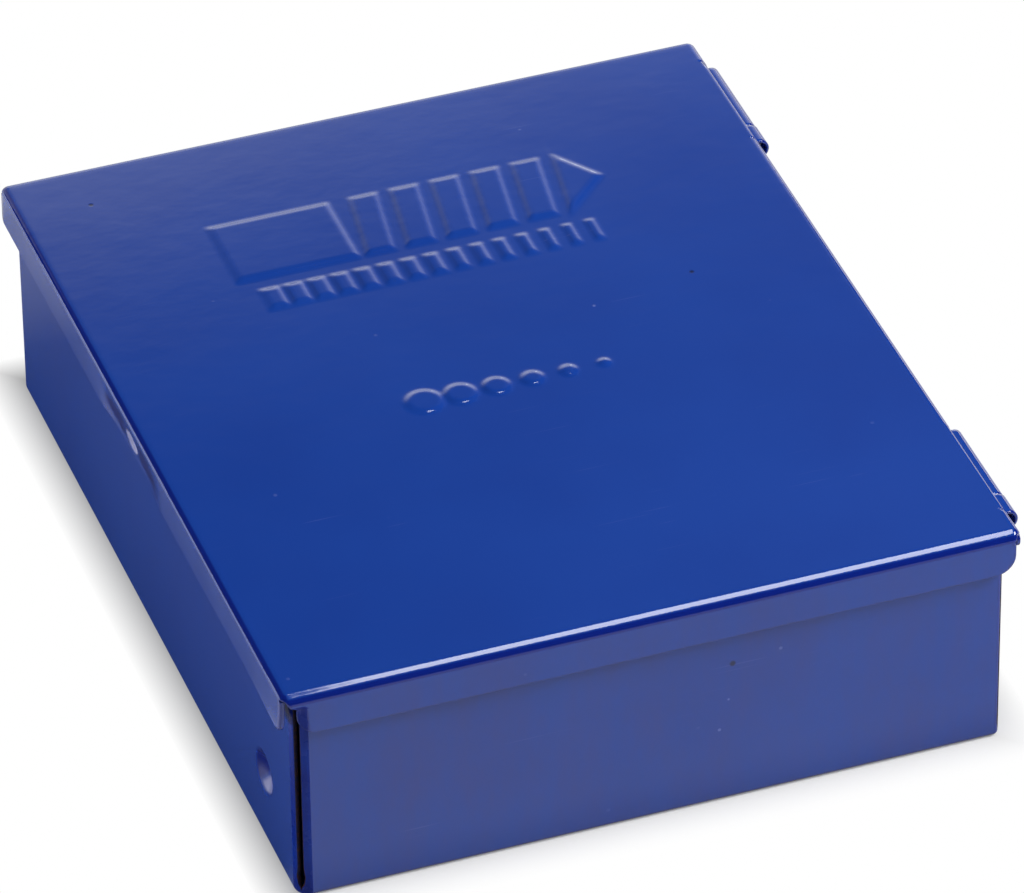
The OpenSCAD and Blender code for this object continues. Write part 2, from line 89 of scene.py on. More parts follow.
SHEET = 0.8
CUT_EDGE = 0.12
SOLID_RELIEF = 0.45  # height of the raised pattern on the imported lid
TOP = LID_HIGH[2] - SOLID_RELIEF
END_BEND = (1.8, 1.8)
BACK_BEND = (1.4, 1.4)
LATCH_BEND = (1.5, 0.5)
END_OUT, END_DOWN = bend_at(END_BEND, math.pi / 2)
BACK_OUT, BACK_DOWN = bend_at(BACK_BEND, math.pi / 2)
LATCH_OUT, LATCH_DOWN = bend_at(LATCH_BEND, math.pi / 2)
EDGE_X = LID_HIGH[0] - END_OUT
BACK_Y = LID_HIGH[1] - BACK_OUT
LATCH_Y = LID_HIGH[1] - LATCH_OUT
OVER_HINGE_Y = LID_HIGH[1] - 0.5

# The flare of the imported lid; the latch flange has a share of it, beyond a place along X
FLARE = -LID_LOW[1] - LID_HIGH[1]
FLARE_FROM = 48.0
FLARE_SHARE = 0.45

END_FLANGE, END_FLANGE_CORNER = 7.0, 3.0
LATCH_FLANGE, LATCH_FLANGE_CORNER = 6.4, 1.0
BACK_FLANGE, BACK_FLANGE_CORNER = 3.3, 0.8
CORNER_LIFT = 0.42
END_CURL = {"reach": 2.2, "depth": 0.45, "fall": 1.5}
FRONT_SETBACK = 2.4
BACK_SETBACK = 1.2
OPEN_END = LID_HIGH[0] - 1.5 * SHEET
BEND_STEPS = 9
HINGE_NOTCH = 0.3
HEM = 0.9
HEM_TURN = 0.75

PIN_Y, PIN_Z = 58.3, 35.54
LEAF = 0.5
LID_KNUCKLE = {"l": 4.6, "r": 1.75}
BASE_KNUCKLE = {"l": 17.1, "r": 1.62}
LEAF_CORNER = 1.5
LEAF_WELD = {"r": 1.7, "depth": 0.16, "in": 5.0, "up": 3.4}

TRAY_BEND = 0.9
FRONT_CORNER = {"r": 2.3, "seam": 1.1}
BACK_CORNER = {"r": 0.9, "seam": 0.4}
TRAY_MID_Y = (TRAY_LOW[1] + TRAY_HIGH[1]) / 2
TRAY_HALF = (TRAY_HIGH - TRAY_LOW) / 2
RIM = TRAY_HIGH[2]
DIMPLE = {"x": TRAY_HIGH[0] - 15, "z": 12.8, "r": 3.7, "depth": 1.35}
LATCH = {"x": -3.0, "down": 3.9, "half_l": 2.7, "half_h": 1.5, "depth": 0.4}
PRESS = {"half_l": 15.0, "fall": 4.6, "depth": 0.55}
SPINDLE = {"half_l": 14.0, "half_h": 2.2, "up": 0.2}
DIMPLE_REACH = 6
RIM_NOTCH = 1.0
FOOT_WELD = {"r": 2.2, "depth": 0.14, "reach": 3.4}
FOOT_IN_X, FOOT_IN_Y = 3.2, 3.5

# Material slots of the folded sheets; the third is darker enamel that paints shade on the front
# corners
ENAMELLED, BARE, DULL_SHADE = 0, 1, 2


# ---- Mesh helpers ----


def steps(start, *parts):
    """Places from start on; each part is (end, spacing) and reaches its end exactly."""
    places = [start]
    for end, spacing in parts:
        count = max(1, round((end - places[-1]) / spacing))
        places += list(np.linspace(places[-1], end, count + 1)[1:])
    return np.array(places)


def merged(*lines):
    """One rising run of places out of several."""
    return np.unique(np.round(np.concatenate(lines), 4))


def smooth(t):
    """0 to 1 with soft ends."""
    t = np.clip(t, 0, 1)
    return t * t * (3 - 2 * t)


def ramp(t):
    """0 to 1 at an even slope with short rounded ends."""
    t = np.clip(t, 0, 1)
    low = np.minimum(t, 1 - t)
    end = np.where(low < 0.2, low * low / 0.32, (low - 0.1) / 0.8)
    return np.where(t < 0.5, end, 1 - end)


def squeezed(lines, first, last, reach):
    """Lines whose outer ends are moved to first and last, within reach of each end."""
    at_first = 1 - np.clip((lines - lines[0]) / reach, 0, 1)
    at_last = 1 - np.clip((lines[-1] - lines) / reach, 0, 1)
    return lines + (first - lines[0]) * at_first + (last - lines[-1]) * at_last


def add_patch(mesh, points):
    """Adds a grid of points, given as rows, columns and x, y, z, as four-sided faces."""
    verts = [[mesh.verts.new(p * MM) for p in row] for row in points]
    for upper, lower in zip(verts, verts[1:]):
        for i in range(len(upper) - 1):
            mesh.faces.new((upper[i], upper[i + 1], lower[i + 1], lower[i]))


def shade(piece, angle=50):
    """Smooth shading with sharp edges, and flat faces kept flat beside bends."""
    piece.data.shade_smooth()
    piece.data.set_sharp_from_angle(angle=math.radians(angle))
    even = piece.modifiers.new("even", "WEIGHTED_NORMAL")
    even.keep_sharp = True
    graph = bpy.context.evaluated_depsgraph_get()
    made = bpy.data.meshes.new_from_object(piece.evaluated_get(graph), depsgraph=graph)
    piece.modifiers.clear()
    piece.data = made


def new_piece(name, mesh, material):
    """A piece of the scene made from a bmesh."""
    data = bpy.data.meshes.new(name)
    mesh.to_mesh(data)
    mesh.free()
    data.materials.append(material)
    piece = bpy.data.objects.new(name, data)
    bpy.context.scene.collection.objects.link(piece)
    return piece


def thicken(mesh, sheet):
    """Gives an open surface the sheet's thickness inwards, with softly broken cut edges, and
    returns the faces of those edges."""
    mesh.normal_update()
    outer = list(mesh.verts)
    faces = list(mesh.faces)
    rim = [loop for face in faces for loop in face.loops if loop.edge.is_boundary]
    outward = {}
    for loop in rim:
        start, end = loop.vert, loop.link_loop_next.vert
        away = (end.co - start.co).cross(loop.face.normal).normalized()
        for vert in (start, end):
            outward[vert] = outward.get(vert, Vector()) + away
    inner = {vert: mesh.verts.new(vert.co - vert.normal * sheet * MM) for vert in outer}
    columns = {}
    for vert, away in outward.items():
        away = away.normalized() * CUT_EDGE * MM
        near = vert.co - vert.normal * CUT_EDGE * MM + away
        far = vert.co - vert.normal * (sheet - CUT_EDGE) * MM + away
        columns[vert] = (vert, mesh.verts.new(near), mesh.verts.new(far), inner[vert])
    for face in faces:
        mesh.faces.new([inner[vert] for vert in reversed(face.verts)])
    edge_faces = []
    for loop in rim:
        start, end = columns[loop.vert], columns[loop.link_loop_next.vert]
        for k in range(3):
            edge_faces.append(mesh.faces.new((end[k], start[k], start[k + 1], end[k + 1])))
    return edge_faces


def mark_shaded_corners(mesh, is_shaded):
    """Marks the faces whose centre (x, y, z) the given test picks out, for the darker enamel that
    paints shade there.
    """
    for face in mesh.faces:
        centre = face.calc_center_median() / MM
        face.material_index = DULL_SHADE if is_shaded(*centre) else ENAMELLED


def make_sheet(name, mesh, material, up=True, sheet=SHEET, bare=None, dull=None):
    """Joins patches into one sheet of metal. up tells whether its topmost face looks up, as on the
    lid, or its lowest face looks down, as on the base. bare is the material of the cut edges
    below the rim, and dull that of the marked faces, a darker enamel that paints shade there."""
    bmesh.ops.remove_doubles(mesh, verts=mesh.verts, dist=2e-6)
    bmesh.ops.dissolve_degenerate(mesh, edges=mesh.edges, dist=1e-7)
    bmesh.ops.recalc_face_normals(mesh, faces=mesh.faces)
    pick = max if up else min
    probe = pick(mesh.faces, key=lambda face: face.calc_center_median().z)
    if (probe.normal.z > 0) != up:
        bmesh.ops.reverse_faces(mesh, faces=mesh.faces)
    for face in thicken(mesh, sheet):
        centre = face.calc_center_median() / MM
        if bare and centre.z < RIM - 1:
            face.material_index = BARE
    piece = new_piece(name, mesh, material)
    if dull:
        piece.data.materials.append(bare or material)
        piece.data.materials.append(dull)
    shade(piece)
    return piece


# ---- Raised pattern on the lid ----


def inside_polygon(x, y, corners):
    """Signed distance to a convex polygon with corners in order round it; negative inside."""
    distance = np.full(x.shape, -1e9)
    count = len(corners)
    turn = 0.0
    for i in range(count):
        (ax, ay), (bx, by) = corners[i], corners[(i + 1) % count]
        turn += ax * by - bx * ay
    for i in range(count):
        (ax, ay), (bx, by) = corners[i], corners[(i + 1) % count]
        length = math.hypot(bx - ax, by - ay)
        side = ((x - ax) * (by - ay) - (y - ay) * (bx - ax)) / length
        distance = np.maximum(distance, side if turn > 0 else -side)
    return distance


FIGURE = {"x": -39.0, "l": 62.0, "w": 15.0, "shank": 21.0, "flutes": 5}
BARS = {"x": -25.5, "l": 57.0, "w": 5.0, "count": 15}
BOSSES = {"x": 8.0, "l": 29.0, "count": 6, "first_d": 5.6, "last_d": 1.6}
RELIEF_EDGE = 0.66
RELIEF_RISE = 0.37
RELIEF_STEP = 0.42  # spacing of the mesh lines under the pattern


def drill_figure(x, y):
    """Signed distance to the drill figure: shank, slanted flutes and point."""
    half = FIGURE["w"] / 2
    x = x - FIGURE["x"]
    y = y + FIGURE["l"] / 2
    pitch = (FIGURE["l"] - FIGURE["shank"] - half) / FIGURE["flutes"]
    rise = pitch / 3
    land = 0.62 * pitch
    shank_end = FIGURE["shank"] - pitch / 4
    found = inside_polygon(x, y, [(-half, 0), (half, 0), (half, shank_end), (-half, shank_end)])
    for k in range(FIGURE["flutes"]):
        low = FIGURE["shank"] + k * pitch
        flute = [(-half, low + rise), (half, low), (half, low + land), (-half, low + land + rise)]
        found = np.minimum(found, inside_polygon(x, y, flute))
    tip = FIGURE["l"] - half
    point = [(-half, tip + rise), (half, tip), (0, tip + half)]
    return np.minimum(found, inside_polygon(x, y, point))


def bar_row(x, y):
    """Signed distance to the bars that grow thinner along Y."""
    step = BARS["l"] / BARS["count"]
    half = BARS["w"] / 2
    x = x - BARS["x"]
    found = np.full(x.shape, 1e9)
    for k in range(BARS["count"]):
        low = k * step - BARS["l"] / 2
        high = low + step * (0.7 - 0.5 * k / BARS["count"])
        bar = [(-half, low), (half, low), (half, high), (-half, high)]
        found = np.minimum(found, inside_polygon(x, y, bar))
    return found


def boss_row(x, y):
    """Signed distance to the round bosses that grow smaller along Y."""
    found = np.full(x.shape, 1e9)
    last = BOSSES["count"] - 1
    for k in range(BOSSES["count"]):
        r = (BOSSES["first_d"] + (BOSSES["last_d"] - BOSSES["first_d"]) * k / last) / 2
        centre = BOSSES["l"] * (k / last - 0.5)
        found = np.minimum(found, np.hypot(x - BOSSES["x"], y - centre) - r)
    return found


def relief(x, y):
    """Height of the raised pattern over the flat of the lid."""
    found = np.minimum(drill_figure(x, y), bar_row(x, y))
    found = np.minimum(found, boss_row(x, y))
    return RELIEF_RISE * ramp((RELIEF_EDGE - found) / (2 * RELIEF_EDGE))


# ---- Lid ----


def hinge_spans():
    """For each hinge, where the lid's back bend is cut away along X."""
    spans = []
    for side in HINGES:
        low, high = box_mm(f"{side}_hinge_base_leaf")
        spans.append((low[0] - HINGE_NOTCH, high[0] + HINGE_NOTCH))
    return spans


def flange_profile(bend, depth, corner, rows):
    """(out, down) along a bend and its flange, with more rows at the rounded lower corners."""
    turned = [bend_at(bend, a) for a in np.linspace(0, math.pi / 2, BEND_STEPS)]
    out, drop = turned[-1]
    straight = list(np.linspace(drop, depth - corner, rows + 1)[1:])
    rounded = [depth - corner + corner * math.sin(a) for a in np.linspace(0, math.pi / 2, 8)[1:]]
    return turned + [(out, down) for down in straight + rounded]


def corner_cut(down, depth, corner):
    """How far a flange's rounded lower corner has drawn in at a depth below the top."""
    below = np.clip(down - (depth - corner), 0, corner)
    return corner - math.sqrt(corner * corner - below * below)


def latch_push(x, down):
    """How far the latch flange stands out at x and at a depth below the top. It hugs the base on
    the left, flares towards the open corner on the right, and is pressed in round the latch."""
    v = np.clip((down - LATCH_DOWN) / (LATCH_FLANGE - LATCH_DOWN), 0, 1)
    near_end = smooth((x - FLARE_FROM) / (OPEN_END - FLARE_FROM))
    spread = 0.02 + FLARE_SHARE * FLARE * near_end**1.5
    flare = spread * (0.5 * v + 0.5 * v**4)
    along = (x - LATCH["x"]) / PRESS["half_l"]
    fall = ramp((down - 0.9) / PRESS["fall"])
    pressed = PRESS["depth"] * smooth(1.1 * (1 - along * along)) * fall
    along = (x - LATCH["x"]) / LATCH["half_l"]
    across = (down - LATCH["down"]) / LATCH["half_h"]
    dimple = LATCH["depth"] * smooth(2.2 * (1 - along * along - across * across))
    return flare - pressed - dimple


def end_curl(y, down):
    """How far an end's flange curls in towards its edge at the open corner."""
    near = smooth((FRONT_SETBACK + END_CURL["reach"] - LID_HIGH[1] - y) / END_CURL["reach"])
    return END_CURL["depth"] * near * near * smooth((down - END_DOWN) / END_CURL["fall"])


def lid_strip(mesh, lines, profile, ends, place):
    """One bend with its flange. ends(down) gives where the flange starts and stops along the edge,
    and place(along, out, down) turns that into x, y, z."""
    rows = []
    for out, down in profile:
        first, last = ends(down)
        rows.append(row_of(*place(squeezed(lines, first, last, 7), out, down)))
    add_patch(mesh, np.array(rows))


def lid_corner(mesh, side_x, side_y, bend):
    """The rounded corner between an end's bend and another, whose lower edge rises in the middle to
    the open corner."""
    rows = []
    turn = np.linspace(0, math.pi / 2, BEND_STEPS)
    edge_y = LID_HIGH[1] - bend_at(bend, math.pi / 2)[0]
    for a in np.linspace(0, math.pi / 2, BEND_STEPS):
        tilt = a * (1 - CORNER_LIFT * np.sin(2 * turn))
        (out_x, down_x), (out_y, down_y) = bend_at(END_BEND, tilt), bend_at(bend, tilt)
        rows.append(row_of(
            side_x * (EDGE_X + out_x * np.cos(turn)),
            side_y * (edge_y + out_y * np.sin(turn)),
            TOP - down_x * np.cos(turn) ** 2 - down_y * np.sin(turn) ** 2,
        ))
    add_patch(mesh, np.array(rows))


def lid_sheet(material, dull):
    spans = hinge_spans()
    (a0, a1), (b0, b1) = spans
    # Fine lines under the raised pattern and the latch, and coarse ones between
    x_lines = steps(
        -EDGE_X, (a0, 0.8), (-47.6, 2.5), (a1, RELIEF_STEP), (-21.4, RELIEF_STEP), (-16, 1.5),
        (-7, 0.5), (12, RELIEF_STEP), (16, 1), (b0, 4), (b1, 4), (EDGE_X, 0.8),
    )
    y_lines = steps(-LATCH_Y, (-53, 0.4), (-33, 3), (33, RELIEF_STEP), (50, 3), (BACK_Y, 0.8))
    mesh = bmesh.new()
    x, y = np.meshgrid(x_lines, y_lines)
    add_patch(mesh, row_of(x, y, TOP + relief(x, y)))

    def between(start, stop):
        return x_lines[(x_lines > start - NEAR) & (x_lines < stop + NEAR)]

    def latch_ends(down):
        if down < LATCH_DOWN + NEAR:
            return -EDGE_X, EDGE_X
        end = OPEN_END - corner_cut(down, LATCH_FLANGE, LATCH_FLANGE_CORNER)
        return -end, end

    lid_strip(
        mesh, x_lines,
        flange_profile(LATCH_BEND, LATCH_FLANGE, LATCH_FLANGE_CORNER, 16), latch_ends,
        lambda along, out, down: (along, -(LATCH_Y + out + latch_push(along, down)), TOP - down),
    )

    def end_ends(down):
        if down < END_DOWN + NEAR:
            return -LATCH_Y, BACK_Y
        cut = corner_cut(down, END_FLANGE, END_FLANGE_CORNER)
        return -LID_HIGH[1] + FRONT_SETBACK + cut, LID_HIGH[1] - BACK_SETBACK - cut

    for side in (-1, 1):
        lid_strip(
            mesh, y_lines, flange_profile(END_BEND, END_FLANGE, END_FLANGE_CORNER, 4), end_ends,
            lambda y, out, down: (side * (EDGE_X + out - end_curl(y, down)), y, TOP - down),
        )
        lid_corner(mesh, side, -1, LATCH_BEND)
        lid_corner(mesh, side, 1, BACK_BEND)

    # The back bend runs between the hinges and beside them; over the hinges the top stays flat
    for start, stop in ((-EDGE_X, a0), (a1, b0), (b1, EDGE_X)):
        outer = [OPEN_END if abs(end) > EDGE_X - NEAR else abs(end) for end in (start, stop)]

        def back_ends(down, start=start, stop=stop, outer=outer):
            if down < BACK_DOWN + NEAR:
                return start, stop
            cut = corner_cut(down, BACK_FLANGE, BACK_FLANGE_CORNER)
            return math.copysign(outer[0], start) + cut, math.copysign(outer[1], stop) - cut

        lid_strip(
            mesh, between(start, stop),
            flange_profile(BACK_BEND, BACK_FLANGE, BACK_FLANGE_CORNER, 2), back_ends,
            lambda along, out, down: (along, BACK_Y + out, TOP - down),
        )
    flat = OVER_HINGE_Y - BACK_Y - HEM * math.sin(HEM_TURN)
    turned = [(HEM * math.sin(a), HEM * (math.cos(a) - 1)) for a in np.linspace(0, HEM_TURN, 5)]
    hem = [(0, 0)] + [(flat + out, rise) for out, rise in turned]
    for start, stop in spans:
        lines = between(start, stop)
        add_patch(mesh, np.array([row_of(lines, BACK_Y + out, TOP + rise) for out, rise in hem]))

    # The front corners below the end bends take the darker enamel that paints shade there
    def folded(x, y, z):
        at_front = y < FRONT_SETBACK + 1.5 - LID_HIGH[1]
        return abs(x) > LID_HIGH[0] - 0.9 and at_front and z < TOP - END_DOWN

    mark_shaded_corners(mesh, folded)
    return make_sheet("lid_shell", mesh, material, dull=dull)


# ---- Base ----


def tray_dent(x, z):
    """Depth of the round dimple in the front panel."""
    rho = np.hypot(x - DIMPLE["x"], z - DIMPLE["z"]) / DIMPLE["r"]
    bowl = 1 - rho * rho
    return DIMPLE["depth"] * (bowl + np.sqrt(bowl * bowl + 0.004)) / 2 * (rho < 2)


def seam_half(z, seam):
    """Half an open seam's width at a corner; it ends in a small eye above the bottom bend."""
    eye = 0.2 * seam * math.exp(-(((z - 3.6) / 0.9) ** 2))
    return (seam / 2 + eye) * float(smooth((z - TRAY_BEND - 0.2) / 1.2))


def corner_arc(corner, inset, z):
    """(further along, further in) of points round half a corner, up to its seam."""
    r = max(corner["r"] - inset, 0.0)
    end = math.pi / 4 - (seam_half(z, corner["seam"]) / corner["r"] if r else 0)
    turn = np.linspace(0, end, 6)[1:]
    return r, r * np.sin(turn), r * (1 - np.cos(turn))


def tray_wall(mesh, lines, heights, half_along, place, corners):
    """One wall of the base with its bottom bend and its half of both upright corners.
    place(along, inset, z) turns a point of the wall into x, y, z, with inset from the outside."""
    rows = []
    levels = [(0.0, z) for z in heights]
    bend = np.linspace(0, math.pi / 2, 8)[1:]
    levels += [(TRAY_BEND * (1 - math.cos(b)), TRAY_BEND * (1 - math.sin(b))) for b in bend]
    for inset, z in levels:
        arcs = [corner_arc(corner, inset, z) for corner in corners]
        (r0, along0, sunk0), (r1, along1, sunk1) = arcs
        first, last = inset + r0 - half_along, half_along - inset - r1
        mid = squeezed(lines, first, last, 5)
        along = np.concatenate([first - along0[::-1], mid, last + along1])
        sunk = np.concatenate([sunk0[::-1], np.zeros(len(mid)), sunk1])
        rows.append(row_of(*place(along, inset + sunk, z)))
    add_patch(mesh, np.array(rows))


def rim_notches():
    """For each hinge, where the base's back rim makes room for the lid leaf's tongue."""
    found = []
    for side in HINGES:
        end = box_mm(f"{side}_hinge_lid_leaf")[1][0]
        found.append((end - LID_KNUCKLE["l"] - HINGE_NOTCH, end + HINGE_NOTCH))
    return found


def weld_marks(x, y, places, weld):
    """Depth of the shallow round marks of spot welds."""
    sunk = np.zeros(np.shape(x))
    for px, py in places:
        sunk = sunk + weld["depth"] * smooth(1.25 - np.hypot(x - px, y - py) / weld["r"])
    return sunk


def tray_sheet(material, bare, dull):
    mesh = bmesh.new()
    half_x, half_y = TRAY_HALF[:2]
    foot_low, foot_high = box_mm("right_pivot_bracket")
    foot_x = foot_low[0] + FOOT_IN_X
    foot_y = (foot_low[1] + FOOT_IN_Y, foot_high[1] - FOOT_IN_Y)
    welds = [(side * foot_x, y) for side in (-1, 1) for y in foot_y]

    def round_weld(middle):
        return np.linspace(middle - FOOT_WELD["reach"], middle + FOOT_WELD["reach"], 12)

    # Every wall and the bottom share these lines, so that their edges meet
    notches = rim_notches()
    front_r, back_r = FRONT_CORNER["r"], BACK_CORNER["r"]
    dimple_x, dimple_z = DIMPLE["x"], DIMPLE["z"]
    x_lines = merged(
        steps(
            front_r - half_x, (-60, 1), (dimple_x - DIMPLE_REACH, 5),
            (dimple_x + DIMPLE_REACH, 0.4), (half_x - front_r, 1),
        ),
        *[[cut - 0.03, cut + 0.03] for notch in notches for cut in notch],
        *[round_weld(side * foot_x) for side in (-1, 1)],
    )
    y_lines = merged(
        steps(front_r - half_y, (-50, 1), (50, 5), (half_y - back_r, 1)),
        *[round_weld(y) - TRAY_MID_Y for y in foot_y],
    )
    front_z = -steps(
        -RIM, (-dimple_z - DIMPLE_REACH, 2.2), (-dimple_z + DIMPLE_REACH, 0.4), (-TRAY_BEND, 0.6),
    )
    plain_z = -steps(-RIM, (-RIM + 1.4, 1.4), (-20, 3), (-6, 3), (-TRAY_BEND, 0.6))
    tray_wall(
        mesh, x_lines, front_z, half_x,
        lambda along, inset, z: (along, TRAY_LOW[1] + inset + tray_dent(along, z), z),
        (FRONT_CORNER, FRONT_CORNER),
    )

    def back_place(along, inset, z):
        # The rim is cut lower where the lid's hinge tongues pass over it
        if z > RIM - NEAR:
            z = z - sum(((along > low) & (along < high)) * RIM_NOTCH for low, high in notches)
        return along, TRAY_HIGH[1] - inset, z

    tray_wall(mesh, x_lines, plain_z, half_x, back_place, (BACK_CORNER, BACK_CORNER))
    for side in (-1, 1):
        tray_wall(
            mesh, y_lines, plain_z, half_y,
            lambda along, inset, z: (side * (half_x - inset), TRAY_MID_Y + along, z),
            (FRONT_CORNER, BACK_CORNER),
        )
    x, y = np.meshgrid(
        squeezed(x_lines, TRAY_BEND - half_x, half_x - TRAY_BEND, 5),
        squeezed(y_lines, TRAY_BEND - half_y, half_y - TRAY_BEND, 5) + TRAY_MID_Y,
    )
    add_patch(mesh, row_of(x, y, weld_marks(x, y, welds, FOOT_WELD)))
    # The front corners take the darker enamel that paints shade there
    mark_shaded_corners(mesh, lambda x, y, z: abs(x) > half_x - front_r and y < TRAY_LOW[1] + front_r)
    return make_sheet("base_shell", mesh, material, up=False, bare=bare, dull=dull)


# ---- Hinges ----


def knuckle(r, first, last):
    """(y, z) from the pin's axis, round a knuckle clockwise from first to last, in degrees."""
    return [(r * math.cos(math.radians(a)), r * math.sin(math.radians(a)))
            for a in np.linspace(first, last, round((first - last) / 12) + 1)]


def leaf_patch(mesh, path, lines):
    """A strip of a leaf along a path of (y, z) from the pin's axis."""
    add_patch(mesh, np.array([row_of(lines, PIN_Y + y, PIN_Z + z) for y, z in path]))


def base_leaf(side, material):
    """The leaf that stands on the base's back and rolls over the pin."""
    low, high = box_mm(f"{side}_hinge_base_leaf")
    r = BASE_KNUCKLE["r"]
    face, foot, step = TRAY_HIGH[1] - PIN_Y, low[2] - PIN_Z, -6.5
    ends = steps(low[0], (low[0] + BASE_KNUCKLE["l"], 0.6), (high[0], 0.6))
    weld_z = foot + LEAF_WELD["up"]
    welds = [(low[0] + LEAF_WELD["in"], weld_z), (high[0] - LEAF_WELD["in"], weld_z)]
    mesh = bmesh.new()
    rows = []
    for z in steps(foot, (foot + LEAF_CORNER, 0.3), (step, 0.5)):
        cut = corner_cut(foot + LEAF_CORNER - z, LEAF_CORNER, LEAF_CORNER)
        lines = squeezed(ends, low[0] + cut, high[0] - cut, 4)
        sunk = weld_marks(lines, z, welds, LEAF_WELD)
        rows.append(row_of(lines, PIN_Y + face - sunk, PIN_Z + z))
    add_patch(mesh, np.array(rows))

    # Above step only the knuckle's length goes on, with a joggle from the leaf to the barrel
    start, stop = -4.4, -1.4
    straight = [(face, z) for z in steps(step, (start, 0.7))]
    joggle = [(face + (-r - face) * smooth((z - start) / (stop - start)), z)
              for z in np.linspace(start, stop, 9)[1:]]
    upper = straight + joggle + [(-r, -0.7)] + knuckle(r, 180, -150)
    leaf_patch(mesh, upper, ends[ends < low[0] + BASE_KNUCKLE["l"] + NEAR])
    return make_sheet(f"{side}_base_leaf", mesh, material, sheet=LEAF)


def lid_leaf(side, material):
    """The leaf under the lid, with a tongue that rolls round the pin."""
    low, high = box_mm(f"{side}_hinge_lid_leaf")
    r = LID_KNUCKLE["r"]
    top = high[2] - PIN_Z
    back = low[1] + 8 - PIN_Y
    ends = steps(low[0], (high[0] - LID_KNUCKLE["l"], 0.8), (high[0], 0.5))
    mesh = bmesh.new()
    leaf_patch(mesh, [(y, top) for y in steps(low[1] - PIN_Y, (back, 0.8))], ends)
    start, stop = -2.6, -0.2
    straight = [(y, top) for y in steps(back, (start, 0.7))]
    joggle = [(y, top + (r - top) * smooth((y - start) / (stop - start)))
              for y in np.linspace(start, stop, 8)[1:]]
    tongue = ends[ends > high[0] - LID_KNUCKLE["l"] - NEAR]
    leaf_patch(mesh, straight + joggle + knuckle(r, 90, -160), tongue)
    return make_sheet(f"{side}_lid_leaf", mesh, material, sheet=LEAF)


# ---- Materials ----


def map_range(tree, source, low, high, to_low, to_high):
    """A node that maps low..high of a source to to_low..to_high, clamped."""
    node = tree.nodes.new("ShaderNodeMapRange")
    ends = {"From Min": low, "From Max": high, "To Min": to_low, "To Max": to_high}
    for name, value in ends.items():
        node.inputs[name].default_value = value
    tree.links.new(source, node.inputs["Value"])
    return node


class Nodes:
    """Short ways to build a node material."""

    def __init__(self, name):
        self.material = bpy.data.materials.new(name)
        self.material.use_nodes = True
        self.tree = self.material.node_tree
        self.shader = self.tree.nodes["Principled BSDF"]
        coordinates = self.tree.nodes.new("ShaderNodeTexCoord")
        self.place = coordinates.outputs["Object"]

    def link(self, source, target):
        self.tree.links.new(source, target)

    def stretched(self, x, y, z, turn=0.0):
        """Object coordinates, scaled per axis after a turn about Z."""
        node = self.tree.nodes.new("ShaderNodeMapping")
        node.inputs["Rotation"].default_value = (0, 0, math.radians(turn))
        node.inputs["Scale"].default_value = (x, y, z)
        self.link(self.place, node.inputs["Vector"])
        return node.outputs["Vector"]

    def noise(self, scale, detail=2.0, rough=0.5, place=None):
        node = self.tree.nodes.new("ShaderNodeTexNoise")
        node.inputs["Scale"].default_value = scale
        node.inputs["Detail"].default_value = detail
        node.inputs["Roughness"].default_value = rough
        self.link(place or self.place, node.inputs["Vector"])
        return node.outputs["Fac"]

    def cells(self, scale, place=None):
        node = self.tree.nodes.new("ShaderNodeTexVoronoi")
        node.inputs["Scale"].default_value = scale
        self.link(place or self.place, node.inputs["Vector"])
        return node.outputs["Distance"]

    def spread(self, source, low, high, to_low=0.0, to_high=1.0):
        """Maps low..high of a source to to_low..to_high, clamped."""
        return map_range(self.tree, source, low, high, to_low, to_high).outputs["Result"]

    def math(self, operation, a, b):
        node = self.tree.nodes.new("ShaderNodeMath")
        node.operation = operation
        for socket, value in zip(node.inputs, (a, b)):
            if isinstance(value, (int, float)):
                socket.default_value = value
            else:
                self.link(value, socket)
        return node.outputs["Value"]

    def absolute(self, a):
        return self.math("ABSOLUTE", a, 0.0)

    def split(self, vector=None):
        """The parts of a vector, of the place itself by default, by axis."""
        node = self.tree.nodes.new("ShaderNodeSeparateXYZ")
        self.link(vector or self.place, node.inputs[0])
        return {axis: node.outputs[axis] for axis in "XYZ"}

    def mix(self, factor, a, b):
        """Colour a to colour b by factor; a and b are colours or sockets."""
        node = self.tree.nodes.new("ShaderNodeMix")
        node.data_type = "RGBA"
        self.link(factor, node.inputs["Factor"])
        for socket, value in ((node.inputs[6], a), (node.inputs[7], b)):
            if isinstance(value, tuple):
                socket.default_value = (*value, 1)
            else:
                self.link(value, socket)
        return node.outputs[2]

    def bump(self, height, distance, strength, under=None):
        node = self.tree.nodes.new("ShaderNodeBump")
        node.inputs["Distance"].default_value = distance
        node.inputs["Strength"].default_value = strength
        self.link(height, node.inputs["Height"])
        if under:
            self.link(under, node.inputs["Normal"])
        return node.outputs["Normal"]

    def rounded(self, radius):
        """Edges that catch the light as if slightly rounded."""
        node = self.tree.nodes.new("ShaderNodeBevel")
        node.samples = 4
        node.inputs["Radius"].default_value = radius
        return node.outputs["Normal"]


ENAMEL = (0.0060, 0.043, 0.282)
ENAMEL_DEEP = (0.0050, 0.038, 0.262)
# Greyer tone of hazy handling marks, which also paints shade on the end faces
ENAMEL_HAZE_AND_SHADE = (0.024, 0.036, 0.200)
ENAMEL_WORN = (0.07, 0.11, 0.38)
# Painted shade: dark navy laid over the folds and into the dimple's upper left
ENAMEL_PAINTED_SHADE = (0.0006, 0.006, 0.15)
# Painted shade: the dark spindle on both sides of the latch
ENAMEL_SPINDLE_SHADE = (0.0005, 0.009, 0.14)
# Painted highlight: the light lavender in the dimple and on the latch's ring
ENAMEL_PAINTED_HIGHLIGHT = (0.24, 0.25, 0.46)
ENAMEL_PIT = (0.002, 0.006, 0.03)
# Darker tones at the front corners: painted shade
CORNER_SHADE_TONES = ((0.0010, 0.012, 0.17), (0.0020, 0.024, 0.23))
SEAM_TONES = ((0.002, 0.005, 0.03), (0.030, 0.011, 0.010))

